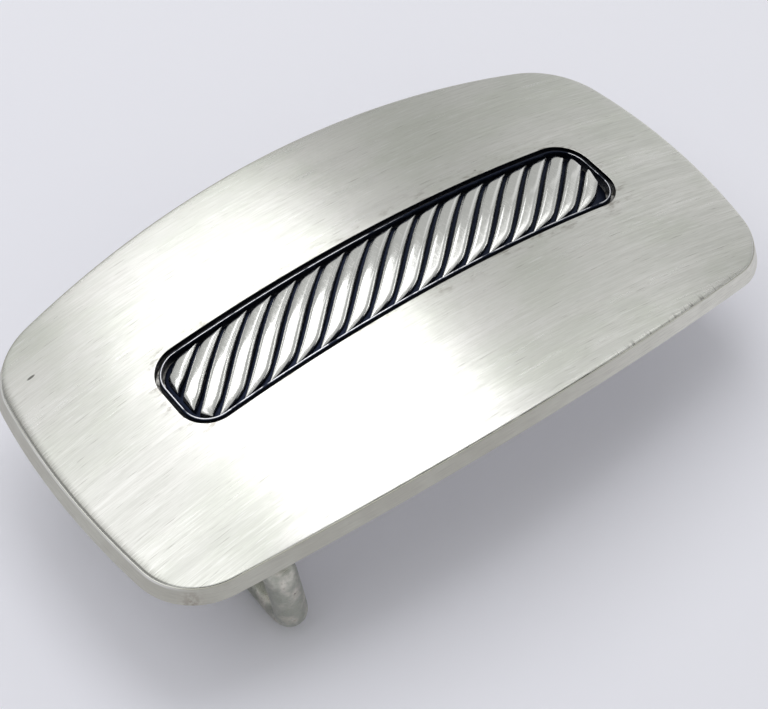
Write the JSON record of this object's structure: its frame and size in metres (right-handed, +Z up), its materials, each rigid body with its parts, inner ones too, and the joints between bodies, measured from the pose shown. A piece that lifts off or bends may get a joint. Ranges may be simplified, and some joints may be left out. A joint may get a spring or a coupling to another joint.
{
  "type": "belt buckle",
  "caption": "Domed silver plaque buckle with a brushed face, a long slot holding a twisted-cable inlay, a hinged wire bail for the strap and a fixed prong behind.",
  "frame": {"origin": "middle of the footprint, on the plane that the bail's crossbar and the prong's tip stand on", "axes": "+X along the plate away from the bail, +Y across the plate, +Z up through the face"},
  "size_m": [0.0746, 0.0414, 0.02],
  "materials": {
    "satin_face": "satin sterling silver, brushed along the long axis",
    "polished_rim": "smooth sterling silver, soft shine",
    "back_metal": "plain sterling silver, lightly tarnished",
    "bright_cable": "polished sterling silver",
    "blackened_bed": "oxidised blue-black silver",
    "wire": "worn sterling silver wire"
  },
  "bodies": {
    "buckle": {"face_sheet": "satin_face", "rim_band": "polished_rim", "back_plate": "back_metal", "slot_bezel": "bright_cable", "cable_bed": "blackened_bed", "cable_strands": "bright_cable", "hinge_saddle": "back_metal", "hinge_tube": "back_metal", "hook_pad": "back_metal", "hook_stud": "wire"},
    "bail": {"bail": "wire"}
  },
  "joints": [
    {"name": "bail_hinge", "type": "hinge", "parent": "buckle", "child": "bail", "pos_m": [-0.0253, 0, 0.01228], "axis": [0, 1, 0], "range_deg": [-91, 85]}
  ]
}
